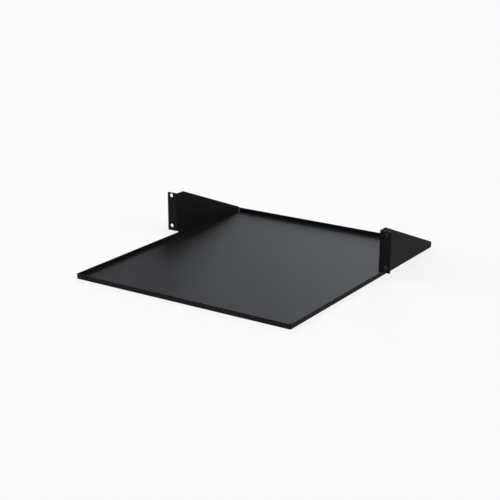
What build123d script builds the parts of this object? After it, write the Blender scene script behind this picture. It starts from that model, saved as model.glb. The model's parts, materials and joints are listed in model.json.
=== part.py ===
from build123d import *

import os

# Mid-mount shelf for a two-post equipment rack, folded from one blank of sheet steel.
# The floor is a plain tray with four low lips. From the rack posts backwards each side lip rises
# into a gusset, and the front edge of each gusset is folded outwards as an ear that bolts to a post.
# X runs across the rack, Y from the front edge to the back, Z up from the tray's underside.
# The origin is under the middle of the tray.

os.makedirs("parts", exist_ok=True)

# Sheet and press brake
sheet_thickness = 1.5
bend_inner_radius = 0.5
corner_gap = 0.2  # between the inner edges of two lips that meet at a corner

# Rack pattern
rack_unit = 44.45
rack_units = 2
panel_clearance = 0.8  # a panel is this much lower than the rack units it fills
panel_width = 482.6  # over both ears
hole_to_panel_edge = 8.75
hole_diameter = 7.1

# Tray
tray_depth = 508.0
ear_reach = 21.3  # from the tray's side to the outer edge of an ear
lip_height = 9.8

# Gussets and ears
ear_setback = 294.0  # from the tray's front edge back to the front faces of the ears
ear_slot = 2.1  # cut between a side lip and the ear above it, so that the ear can be folded
ear_slot_overrun = 0.2  # the slot's round end starts this far behind the ear's bend
ear_corner_radius = 2.0
crest_length = 20.6  # level top of a gusset, from the ears' front faces
gusset_end_rise = 1.3  # a gusset's rear end stands this much above the rear lip

# Worked out from the sizes above
bend_outer_radius = bend_inner_radius + sheet_thickness
lip_end_setback = sheet_thickness + corner_gap
tray_width = panel_width - 2 * ear_reach
panel_height = rack_units * rack_unit - panel_clearance
ear_bottom = lip_height + ear_slot
gusset_end_height = lip_height + gusset_end_rise
front_y = -tray_depth / 2
back_y = tray_depth / 2
ear_y = front_y + ear_setback
ear_bend_end_y = ear_y + bend_outer_radius
slot_end_y = ear_bend_end_y + ear_slot_overrun

# Each rack unit has holes at one seventh, one half and six sevenths of its height.
# The ears use the middle hole of the lowest unit and the top hole of the highest one.
lower_hole_height = rack_unit / 2 - panel_clearance / 2
upper_hole_height = rack_unit * (rack_units - 1 / 7) - panel_clearance / 2
hole_pitch = upper_hole_height - lower_hole_height
hole_pattern_middle = (upper_hole_height + lower_hole_height) / 2
hole_column_spacing = panel_width - 2 * hole_to_panel_edge


def channel_section(plane, span, height):
    """Cross-section of the folded sheet: the floor, two bends and two upright walls."""
    outside = span / 2
    inside = outside - sheet_thickness
    with BuildSketch(plane) as section:
        with BuildLine():
            under_face = FilletPolyline(
                (-outside, height),
                (-outside, 0),
                (outside, 0),
                (outside, height),
                radius=bend_outer_radius,
            )
            upper_face = FilletPolyline(
                (-inside, height),
                (-inside, sheet_thickness),
                (inside, sheet_thickness),
                (inside, height),
                radius=bend_inner_radius,
            )
            Line(under_face @ 0, upper_face @ 0)
            Line(under_face @ 1, upper_face @ 1)
        make_face()
    return section.sketch


with BuildPart() as folded_shelf:
    # Floor and both sides, as one channel as high as the ears. The side walls run on past the
    # ends of their bends, to close the corners.
    side_section = channel_section(Plane.XZ, tray_width, panel_height)
    extrude(side_section, amount=tray_depth / 2 - bend_outer_radius, both=True)
    with Locations((0, 0, bend_outer_radius)):
        with GridLocations(tray_width - sheet_thickness, 0, 2, 1):
            Box(
                sheet_thickness,
                tray_depth - 2 * lip_end_setback,
                panel_height - bend_outer_radius,
                align=(Align.CENTER, Align.CENTER, Align.MIN),
            )

    # Side outline: low lip, slot under the ear, gusset with a level crest and a straight slope
    with BuildSketch(Plane.YZ):
        with BuildLine():
            Polyline(
                (slot_end_y, lip_height),
                (front_y, lip_height),
                (front_y, 0),
                (back_y, 0),
                (back_y, gusset_end_height),
                (ear_y + crest_length, panel_height),
                (ear_bend_end_y, panel_height),
                (ear_bend_end_y, ear_bottom),
                (slot_end_y, ear_bottom),
            )
            ThreePointArc(
                (slot_end_y, ear_bottom),
                (slot_end_y + ear_slot / 2, lip_height + ear_slot / 2),
                (slot_end_y, lip_height),
            )
        make_face()
    extrude(amount=tray_width / 2, both=True, mode=Mode.INTERSECT)

    # Front and rear lips, closed up to the sides in the same way
    lip_section = channel_section(Plane.YZ, tray_depth, lip_height)
    extrude(lip_section, amount=tray_width / 2 - bend_outer_radius, both=True)
    with Locations((0, 0, bend_outer_radius)):
        with GridLocations(0, tray_depth - sheet_thickness, 1, 2):
            Box(
                tray_width - 2 * lip_end_setback,
                sheet_thickness,
                lip_height - bend_outer_radius,
                align=(Align.CENTER, Align.CENTER, Align.MIN),
            )

    # Ears, folded outwards from the gussets' front edges
    with BuildSketch(Plane.XY.offset(ear_bottom)):
        with BuildLine():
            wall_x = tray_width / 2
            front_face = FilletPolyline(
                (wall_x - sheet_thickness, slot_end_y),
                (wall_x - sheet_thickness, ear_y),
                (panel_width / 2, ear_y),
                radius=bend_outer_radius,
            )
            back_face = FilletPolyline(
                (wall_x, slot_end_y),
                (wall_x, ear_y + sheet_thickness),
                (panel_width / 2, ear_y + sheet_thickness),
                radius=bend_inner_radius,
            )
            Line(front_face @ 0, back_face @ 0)
            Line(front_face @ 1, back_face @ 1)
        make_face()
        mirror(about=Plane.YZ)
    extrude(amount=panel_height - ear_bottom)
    ear_corners = folded_shelf.edges().filter_by(Axis.Y).group_by(Axis.X)
    fillet(ear_corners[0] + ear_corners[-1], radius=ear_corner_radius)

    # Two rack holes in each ear
    with Locations(Plane((0, ear_y, hole_pattern_middle), x_dir=(1, 0, 0), z_dir=(0, -1, 0))):
        with GridLocations(hole_column_spacing, hole_pitch, 2, 2):
            Hole(hole_diameter / 2, depth=sheet_thickness)

folded_shelf.part.label = "folded_shelf"
export_step(folded_shelf.part, "parts/folded_shelf.step")
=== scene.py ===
import json
import math

import bmesh
import bpy
import numpy as np
from mathutils.geometry import delaunay_2d_cdt
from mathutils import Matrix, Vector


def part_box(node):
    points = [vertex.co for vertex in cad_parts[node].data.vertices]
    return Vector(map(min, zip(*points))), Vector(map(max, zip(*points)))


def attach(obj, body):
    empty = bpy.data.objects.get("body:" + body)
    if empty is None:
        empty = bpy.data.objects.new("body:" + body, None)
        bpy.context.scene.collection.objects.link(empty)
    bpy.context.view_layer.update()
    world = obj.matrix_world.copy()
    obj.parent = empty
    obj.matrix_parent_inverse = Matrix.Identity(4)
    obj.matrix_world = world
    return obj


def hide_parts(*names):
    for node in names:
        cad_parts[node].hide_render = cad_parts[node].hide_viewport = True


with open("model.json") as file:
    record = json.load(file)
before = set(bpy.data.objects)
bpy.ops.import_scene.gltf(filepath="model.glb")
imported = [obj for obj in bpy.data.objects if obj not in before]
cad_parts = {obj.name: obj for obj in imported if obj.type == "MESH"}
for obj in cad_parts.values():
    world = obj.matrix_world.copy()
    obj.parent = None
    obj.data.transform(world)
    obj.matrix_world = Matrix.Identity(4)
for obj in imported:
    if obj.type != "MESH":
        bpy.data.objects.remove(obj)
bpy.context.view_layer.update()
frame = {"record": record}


# The shelf is one blank of mild steel sheet, laser cut with its bolt holes and ear slots and folded
# on a press brake: four lips, a gusset that rises out of each side lip, and an ear folded outwards
# from each gusset. Nothing is welded or riveted, and the coat rounds every cut edge.

# Sizes in millimetres
mm = 0.001
sheet = 1.5
bend_inner = 0.5
edge_round = 0.28
lip_height = 9.8
lip_corner = 0.45
corner_gap = 0.09
ear_reach = 21.3
ear_setback = 294.0
ear_slot = 2.1
slot_overrun = 0.2
ear_corner = 2.0
crest_length = 20.6
gusset_end_height = 11.1

# Flat steps along a fold, a quarter of a cut edge, a rounded corner and a bolt hole
bend_steps = 14
edge_steps = 4
corner_steps = 12
hole_steps = 72

# Points nearer than the weld distance are one. The outline has an inner corner where it turns
# outwards by more than inner_turn degrees.
weld_distance = 0.001
inner_turn = 30.0

panel_half, tray_half_depth, panel_height = np.array(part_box("folded_shelf")[1]) / mm
tray_half_width = panel_half - ear_reach
bend_outer = bend_inner + sheet
bend_middle = bend_inner + sheet / 2
bend_length = bend_middle * math.pi / 2
ear_front = ear_setback - tray_half_depth
ear_fold = ear_front + bend_outer
slot_end = ear_fold + slot_overrun
ear_bottom = lip_height + ear_slot
ear_flat = ear_reach - bend_inner

# Two lips meet at a corner with their rounded inner edges corner_gap apart on the diagonal. The coat
# has all but closed the slit that the press brake needs there.
lip_setback = (corner_gap + 2 * edge_round) / math.sqrt(2) - 2 * edge_round

# In the flat blank u runs across and v from front to back. The floor ends at its four fold lines.
fold_u = tray_half_width - bend_outer
fold_v = tray_half_depth - bend_outer
wall_u = fold_u + bend_length
wall_v = fold_v + bend_length
lip_end_u = tray_half_width - sheet - lip_setback
lip_end_v = tray_half_depth - sheet - lip_setback
lip_top_u = wall_u + lip_height - bend_outer
lip_top_v = wall_v + lip_height - bend_outer
ear_bottom_u = wall_u + ear_bottom - bend_outer
ear_top_u = wall_u + panel_height - bend_outer
slot_middle_u = (lip_top_u + ear_bottom_u) / 2
ear_tip_v = ear_fold - bend_length - ear_flat
crest_end_v = ear_front + crest_length

bolt_holes = next(m for m in frame["record"]["mounts"] if m["name"] == "rack_holes")
hole_radius = bolt_holes["dims"]["hole_r_mm"]
hole_side = bolt_holes["dims"]["spacing_x_mm"] / 2
hole_middle = bolt_holes["pos_m"][2] / mm
hole_rise = bolt_holes["dims"]["spacing_y_mm"] / 2
hole_v = ear_tip_v + panel_half - hole_side
hole_u = wall_u - bend_outer + hole_middle
hole_centres = np.array([(s * (hole_u + r), hole_v) for s in (-1, 1) for r in (-hole_rise, hole_rise)])


def round_corners(corners, radii):
    """Closed polygon with its corners rounded. A corner that turns by the angle a has an arc that
    starts r tan(a / 2) before it and goes r sin(a) onwards and r (1 - cos(a)) to the turn's side."""
    step = np.roll(corners, -1, axis=0) - corners
    step = step / np.linalg.norm(step, axis=1, keepdims=True)
    before = np.roll(step, 1, axis=0)
    left = np.stack([-before[:, 1], before[:, 0]], axis=1)
    turn = np.arctan2((left * step).sum(1), (before * step).sum(1))[:, None]
    start = corners - before * radii * np.tan(np.abs(turn) / 2)
    angle = turn * np.linspace(0, 1, corner_steps + 1)
    onwards = before[:, None] * (radii * np.abs(np.sin(angle)))[:, :, None]
    sideways = left[:, None] * (radii * np.sign(turn) * (1 - np.cos(angle)))[:, :, None]
    arcs = start[:, None] + onwards + sideways
    return arcs[(np.arange(corner_steps + 1) == 0) | (radii > 0)]


def blank_outline():
    """The blank's outer edge, counterclockwise: the right half from the front lip round to the rear
    lip, with a half circle at the slot's end, and then its mirror image."""
    slope = (panel_height - gusset_end_height) / (tray_half_depth - crest_end_v)
    gusset_end_u = ear_top_u - slope * (lip_end_v - crest_end_v)
    front = [
        (lip_end_u, -lip_top_v, lip_corner),
        (lip_end_u, -wall_v, 0),
        (fold_u, -wall_v, 0),
        (fold_u, -fold_v, 0),
        (wall_u, -fold_v, 0),
        (wall_u, -lip_end_v, 0),
        (lip_top_u, -lip_end_v, lip_corner),
    ]
    angle = np.linspace(math.pi, 0, 2 * corner_steps + 1)
    across = slot_middle_u + ear_slot / 2 * np.cos(angle)
    slot = np.stack([across, slot_end + ear_slot / 2 * np.sin(angle), 0 * angle], axis=1)
    ear_and_rear = [
        (ear_bottom_u, ear_tip_v, ear_corner),
        (ear_top_u, ear_tip_v, ear_corner),
        (ear_top_u, crest_end_v, 0),
        (gusset_end_u, lip_end_v, lip_corner),
        (wall_u, lip_end_v, 0),
        (wall_u, fold_v, 0),
        (fold_u, fold_v, 0),
        (fold_u, wall_v, 0),
        (lip_end_u, wall_v, 0),
        (lip_end_u, lip_top_v, lip_corner),
    ]
    right = np.vstack([front, slot, ear_and_rear])
    whole = np.vstack([right, right[::-1] * (-1, 1, 1)])
    return round_corners(whole[:, :2], whole[:, 2:])


def fold_lines():
    """Straight lines (first end, last end) that divide the blank where it is rolled: for each fold
    its two edges and the even steps between them."""
    rolls = [(s, d) for s in (-1, 1) for d in np.linspace(0, bend_length, bend_steps + 1)]
    side = [[(s * (fold_u + d), -fold_v), (s * (fold_u + d), fold_v)] for s, d in rolls]
    end = [[(-fold_u, s * (fold_v + d)), (fold_u, s * (fold_v + d))] for s, d in rolls]
    ear = [[(s * ear_bottom_u, ear_fold - d), (s * ear_top_u, ear_fold - d)] for s, d in rolls]
    return np.array(side + end + ear)


def divide(path, lines):
    """The closed path with a point added wherever an end of a fold line lies inside one of its edges:
    the end's share of the edge is found by projection, and its distance from the edge is nought."""
    step = np.roll(path, -1, axis=0) - path
    length = np.linalg.norm(step, axis=1)
    ends = lines.reshape(-1, 2)[None] - path[:, None]
    share = (ends * step[:, None]).sum(2) / length[:, None] ** 2
    off = np.abs(ends[:, :, 0] * step[:, None, 1] - ends[:, :, 1] * step[:, None, 0]) / length[:, None]
    inside = (off < weld_distance) & (share * length[:, None] > weld_distance)
    inside &= (1 - share) * length[:, None] > weld_distance
    edge, end = np.nonzero(inside)
    places = np.concatenate([np.arange(len(path)), edge + share[edge, end]])
    points = np.vstack([path, path[edge] + step[edge] * share[edge, end][:, None]])
    return points[np.argsort(places)]


def inward(path):
    """(points, inward vectors): each point with its edges' mean inward normal, as long as it takes
    to keep the same distance from both edges. The point of an inner corner comes three times, with
    the first edge's normal, the mean and the second's, so that a fold line can end beside it."""
    step = np.roll(path, -1, axis=0) - path
    step = step / np.linalg.norm(step, axis=1, keepdims=True)
    after = np.stack([-step[:, 1], step[:, 0]], axis=1)
    before = np.roll(after, 1, axis=0)
    mean = (before + after) / (1 + (before * after).sum(1, keepdims=True))
    inner_corner = (before * step).sum(1) < -math.sin(math.radians(inner_turn))
    used = np.stack([inner_corner, np.full(len(path), True), inner_corner], axis=1)
    points = np.repeat(path[:, None], 3, axis=1)
    return points[used], np.stack([before, mean, after], axis=1)[used]


def cut_edge(points, vectors):
    """(points, quads, film thinness) of the sheet's cut edge, a surface of two parameters: place
    along the outline, and angle from the upper face round to the under face. Its profile is two
    quarter circles, and the film thins by the angle's sine."""
    quarter = np.linspace(0, math.pi / 2, edge_steps + 1)
    angle = np.concatenate([quarter, quarter + math.pi / 2])
    inset = edge_round * (1 - np.sin(angle))
    centre = np.repeat([sheet - edge_round, edge_round], edge_steps + 1)
    flat = points[:, None] + vectors[:, None] * inset[None, :, None]
    height = np.broadcast_to(centre + edge_round * np.cos(angle), flat.shape[:2])
    row, column = np.meshgrid(np.arange(len(points)), np.arange(len(angle) - 1), indexing="ij")
    corners = [(row, column), (row, column + 1), (row + 1, column + 1), (row + 1, column)]
    quads = np.stack([r % len(points) * len(angle) + c for r, c in corners], axis=-1)
    thinness = np.broadcast_to(np.sin(angle), flat.shape[:2])
    return np.dstack([flat, height]).reshape(-1, 3), quads.reshape(-1, 4), thinness.ravel()


def flat_faces(rims, lines):
    """(points, triangles) of the blank inside its outer rim and outside its holes' rims, divided
    along the fold lines. A triangle in a hole lies in two of the rims, and is left out."""
    ends = np.cumsum([len(rim) for rim in rims])
    loops = [np.arange(end - len(rim), end) for rim, end in zip(rims, ends)]
    outlines = [loops[0].tolist()] + [loop[::-1].tolist() for loop in loops[1:]]
    points = np.vstack([*rims, lines.reshape(-1, 2)])
    line_ends = np.arange(ends[-1], len(points)).reshape(-1, 2).tolist()
    inside_outlines = 1
    found_points, _, triangles, _, _, rims_around = delaunay_2d_cdt(
        points.tolist(), line_ends, outlines, inside_outlines, weld_distance, True
    )
    kept = np.array([around == [0] for around in rims_around])
    return np.array([tuple(point) for point in found_points]), np.array(triangles)[kept]


def fold(blank):
    """Carries points (u, v, w) of the flat blank, w from the under face upwards, to the folded shelf.
    Past a fold line the sheet rolls up round a centre bend_outer above its under face, by an angle of
    distance / bend_middle, and runs straight up from there. The ears roll outwards in the same way,
    round a centre bend_inner outside the gusset."""
    u, v, w = blank.T
    past_side = np.where(np.abs(v) < fold_v + bend_length / 2, np.maximum(np.abs(u) - fold_u, 0), 0)
    past_end = np.where(np.abs(u) < fold_u + bend_length / 2, np.maximum(np.abs(v) - fold_v, 0), 0)
    side_angle = np.minimum(past_side, bend_length) / bend_middle
    end_angle = np.minimum(past_end, bend_length) / bend_middle
    radius = bend_outer - w
    x = np.abs(u) - past_side + radius * np.sin(side_angle)
    y = np.sign(v) * (np.abs(v) - past_end + radius * np.sin(end_angle))
    z = w + radius * (2 - np.cos(side_angle) - np.cos(end_angle))
    z += np.maximum(past_side - bend_length, 0) + np.maximum(past_end - bend_length, 0)

    on_ear = (np.abs(u) > slot_middle_u) & (v < ear_fold)
    past_ear = np.where(on_ear, ear_fold - v, 0)
    ear_angle = np.minimum(past_ear, bend_length) / bend_middle
    ear_radius = bend_inner + w
    ear_x = tray_half_width + bend_inner - ear_radius * np.cos(ear_angle)
    x = np.where(on_ear, ear_x + np.maximum(past_ear - bend_length, 0), x)
    y = np.where(on_ear, ear_fold - ear_radius * np.sin(ear_angle), y)
    return np.stack([np.sign(u) * x, y, z], axis=1) * mm


# The cut edge is a rounded band along the outline and round each hole. The flat faces fill the rims
# that the bands leave, so each fold line is shortened to end at a rim.
lines = fold_lines()
turns = np.linspace(0, 2 * math.pi, hole_steps, endpoint=False)
circle = hole_radius * np.stack([np.cos(turns), -np.sin(turns)], axis=1)
edges = [inward(divide(blank_outline(), lines))]
edges += [inward(centre + circle) for centre in hole_centres]
rims = [points + vectors * edge_round for points, vectors in edges]
line_ways = np.sign(lines[:, 1] - lines[:, 0])
rim_lines = lines + np.stack([line_ways, -line_ways], axis=1) * edge_round
face_points, face_triangles = flat_faces(rims, rim_lines)

no_thinning = np.zeros(len(face_points))
upper_face = (np.column_stack([face_points, no_thinning + sheet]), face_triangles, no_thinning)
under_face = (np.column_stack([face_points, no_thinning]), face_triangles[:, ::-1], no_thinning)
surfaces = [upper_face, under_face] + [cut_edge(*edge) for edge in edges]
point_sets, corner_sets, film_thinness = zip(*surfaces)
first_points = np.cumsum([0] + [len(points) for points in point_sets])
faces = [face for corners, first in zip(corner_sets, first_points) for face in (corners + first).tolist()]

shelf_mesh = bpy.data.meshes.new("shelf_sheet")
shelf_mesh.from_pydata(fold(np.vstack(point_sets)).tolist(), [], faces)
thin_film = shelf_mesh.attributes.new("thin_film", "FLOAT", "POINT")
thin_film.data.foreach_set("value", np.concatenate(film_thinness))
sliver_width = weld_distance / 10
work = bmesh.new()
work.from_mesh(shelf_mesh)
bmesh.ops.remove_doubles(work, verts=work.verts, dist=weld_distance * mm)
bmesh.ops.dissolve_degenerate(work, edges=work.edges, dist=sliver_width * mm)
work.to_mesh(shelf_mesh)
work.free()
crease_angle = 40.0
shelf_mesh.shade_smooth()
shelf_mesh.set_sharp_from_angle(angle=math.radians(crease_angle))
shelf_sheet = bpy.data.objects.new("shelf_sheet", shelf_mesh)
bpy.context.collection.objects.link(shelf_sheet)
even_normals = shelf_sheet.modifiers.new("even_normals", "WEIGHTED_NORMAL")
even_normals.keep_sharp = True


def node(material, kind, settings=None, links=None):
    """Adds a shader node. settings gives its properties and socket values, and links the outputs
    that feed its inputs, each by the input's name or number."""
    made = material.node_tree.nodes.new(kind)
    for key, value in (settings or {}).items():
        if key in made.inputs:
            made.inputs[key].default_value = value
        else:
            setattr(made, key, value)
    for key, source in (links or {}).items():
        material.node_tree.links.new(source, made.inputs[key])
    return made


def linear(hex_colour):
    """sRGB hex to linear RGBA: c / 12.92 up to 0.04045, and ((c + 0.055) / 1.055) to the 2.4 above."""
    srgb = np.array([int(hex_colour[i : i + 2], 16) for i in (1, 3, 5)]) / 255
    rgb = np.where(srgb > 0.04045, ((srgb + 0.055) / 1.055) ** 2.4, srgb / 12.92)
    return (*rgb, 1)


# Matt black polyester powder coat, sprayed on dry and melted in an oven. It never flows quite level,
# which leaves a fine orange peel. Faint clouds come from uneven film, and where the melt draws back
# from a cut edge the film is thin and a little shinier.
coat = bpy.data.materials.new("matt_black_powder_coat")
coat.use_nodes = True
coat.node_tree.nodes.clear()
on_sheet = {"Vector": node(coat, "ShaderNodeTexCoord").outputs["Object"]}
noise_detail = 3.0

cloud_size = 45.0
cloud_tints = ((0.3, "#151515"), (0.7, "#171717"))
cloud_noise = {"Scale": 1 / (cloud_size * mm), "Detail": noise_detail}
clouds = node(coat, "ShaderNodeTexNoise", cloud_noise, on_sheet)
tint = node(coat, "ShaderNodeValToRGB", links={"Fac": clouds.outputs["Fac"]})
for stop, (position, hex_colour) in zip(tint.color_ramp.elements, cloud_tints):
    stop.position = position
    stop.color = linear(hex_colour)

# Roughness and IOR are matched to the sheen of the real coat. An IOR of 1.5 is usual, and makes the
# sheen too bright under these lamps.
dull_range = {"To Min": 0.635, "To Max": 0.665}
edge_shine = 0.06
coat_ior = 1.2
dull = node(coat, "ShaderNodeMapRange", dull_range, {"Value": clouds.outputs["Fac"]})
edge_film = node(coat, "ShaderNodeAttribute", {"attribute_name": "thin_film"})
shine = node(coat, "ShaderNodeMapRange", {"To Max": edge_shine}, {"Value": edge_film.outputs["Fac"]})
film_roughness = {0: dull.outputs["Result"], 1: shine.outputs["Result"]}
roughness = node(coat, "ShaderNodeMath", {"operation": "SUBTRACT"}, film_roughness)

# The peel is 1 to 2 mm from crest to crest. It is drawn three times as high as the real 15 microns,
# which would hardly show on so dull a coat.
peel_size = 1.6
peel_height = 0.045
peel_noise = {"Scale": 1 / (peel_size * mm), "Detail": noise_detail}
peel = node(coat, "ShaderNodeTexNoise", peel_noise, on_sheet)
relief = node(coat, "ShaderNodeBump", {"Distance": peel_height * mm}, {"Height": peel.outputs["Fac"]})

film = {
    "Base Color": tint.outputs["Color"],
    "Roughness": roughness.outputs["Value"],
    "Normal": relief.outputs["Normal"],
}
coat_shader = node(coat, "ShaderNodeBsdfPrincipled", {"IOR": coat_ior}, film)
node(coat, "ShaderNodeOutputMaterial", links={"Surface": coat_shader.outputs["BSDF"]})

shelf_mesh.materials.append(coat)
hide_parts("folded_shelf")
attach(shelf_sheet, "root")


# The shelf lies on a plain sheet of dull white paper, cut so large that its edges are far outside
# the picture. Nothing is fixed to it, and the shelf's shadow falls on it.
floor_half = 30.0
floor_corners = [(-floor_half, -floor_half, 0), (floor_half, -floor_half, 0)]
floor_corners += [(floor_half, floor_half, 0), (-floor_half, floor_half, 0)]
floor_mesh = bpy.data.meshes.new("paper_floor")
floor_mesh.from_pydata(floor_corners, [], [(0, 1, 2, 3)])
paper = bpy.data.materials.new("white_paper")
paper.use_nodes = True
paper.node_tree.nodes.clear()
paper_white = linear("#fbfbfb")
dull_paper = {"Base Color": paper_white, "Roughness": 1.0, "Specular IOR Level": 0.0}
paper_shader = node(paper, "ShaderNodeBsdfPrincipled", dull_paper)

# To the camera, in a reflection and through anything clear, most of the paper's white is its own, so
# the shadow on it is pale.
own_white = 0.8
seen_white = node(paper, "ShaderNodeEmission", {"Color": paper_white, "Strength": 1.0})
rays = node(paper, "ShaderNodeLightPath").outputs
in_view = rays["Is Camera Ray"]
for other_ray in (rays["Is Glossy Ray"], rays["Is Transmission Ray"]):
    either = node(paper, "ShaderNodeMath", {"operation": "MAXIMUM"}, {0: in_view, 1: other_ray})
    in_view = either.outputs["Value"]
own_share = node(paper, "ShaderNodeMapRange", {"To Max": own_white}, {"Value": in_view})
both_whites = {
    0: own_share.outputs["Result"],
    1: paper_shader.outputs["BSDF"],
    2: seen_white.outputs["Emission"],
}
paper_mix = node(paper, "ShaderNodeMixShader", links=both_whites)
node(paper, "ShaderNodeOutputMaterial", links={"Surface": paper_mix.outputs["Shader"]})
floor_mesh.materials.append(paper)
paper_floor = bpy.data.objects.new("paper_floor", floor_mesh)
bpy.context.collection.objects.link(paper_floor)


# Soft light from big far lamps, so that it falls evenly on the whole floor: one on each side, and a
# bank of six behind the shelf, whose light the tray's sheen shows.
def far_lamp(name, azimuth, elevation, spread, strength, hex_colour):
    """Disc of light, spread degrees across, at azimuth degrees round from the front and elevation
    degrees up. Its rays run along (-sin a cos e, cos a cos e, -sin e)."""
    lamp = bpy.data.lights.new(name, "SUN")
    lamp.angle = math.radians(spread)
    lamp.energy = strength
    lamp.color = linear(hex_colour)[:3]
    lamp_object = bpy.data.objects.new(name, lamp)
    lamp_object.rotation_euler = (math.radians(90 - elevation), 0, math.radians(azimuth))
    bpy.context.collection.objects.link(lamp_object)


side_spread = 50
rear_spread = 9
rear_bank = [
    (205, 6, 0.240),
    (212, 10, 0.104),
    (205, 15, 0.184),
    (198, 21, 0.525),
    (212, 28, 0.284),
    (198, 36, 0.424),
]
far_lamp("right", 80, 50, side_spread, 2.095, "#fffef9")
far_lamp("left", 288, 30, side_spread, 1.609, "#fdfcff")
for number, (azimuth, elevation, strength) in enumerate(rear_bank, 1):
    far_lamp(f"rear_{number}", azimuth, elevation, rear_spread, strength, "#f4f8ff")

# The room itself is dim. Past the paper's far edge the camera sees the paper's white, also through
# anything clear. The coat's sheen sees the dim room: with a white one the tray comes out too light.
room_strength = 0.05
studio = bpy.data.worlds.new("studio")
studio.use_nodes = True
studio.node_tree.nodes.clear()
dim_light = {"Color": linear("#ffffff"), "Strength": room_strength}
dim_room = node(studio, "ShaderNodeBackground", dim_light)
white_room = node(studio, "ShaderNodeBackground", {"Color": paper_white, "Strength": 1.0})
rays = node(studio, "ShaderNodeLightPath").outputs
straight_rays = {0: rays["Is Camera Ray"], 1: rays["Is Transmission Ray"]}
straight = node(studio, "ShaderNodeMath", {"operation": "MAXIMUM"}, straight_rays)
both_rooms = {
    0: straight.outputs["Value"],
    1: dim_room.outputs["Background"],
    2: white_room.outputs["Background"],
}
room = node(studio, "ShaderNodeMixShader", links=both_rooms)
node(studio, "ShaderNodeOutputWorld", links={"Surface": room.outputs["Shader"]})
bpy.context.scene.world = studio


# The camera stands to the front right of the shelf, a little above it, and looks down on the tray.
# Its place, turn, tilt and lens give the photograph's view.
focal_pixels = 1205.48
image_pixels = 500
camera_place = (1.1318911, -1.7486744, 0.6976285)
camera_turn = 33.4674
camera_tilt = 17.9264
camera = bpy.data.cameras.new("camera")
camera.sensor_width = 36.0
camera.lens = focal_pixels / image_pixels * camera.sensor_width
camera_object = bpy.data.objects.new("camera", camera)
camera_object.location = camera_place
camera_object.rotation_euler = (math.radians(90 - camera_tilt), 0, math.radians(camera_turn))
bpy.context.collection.objects.link(camera_object)
bpy.context.scene.camera = camera_object
bpy.context.scene.view_settings.view_transform = "Standard"
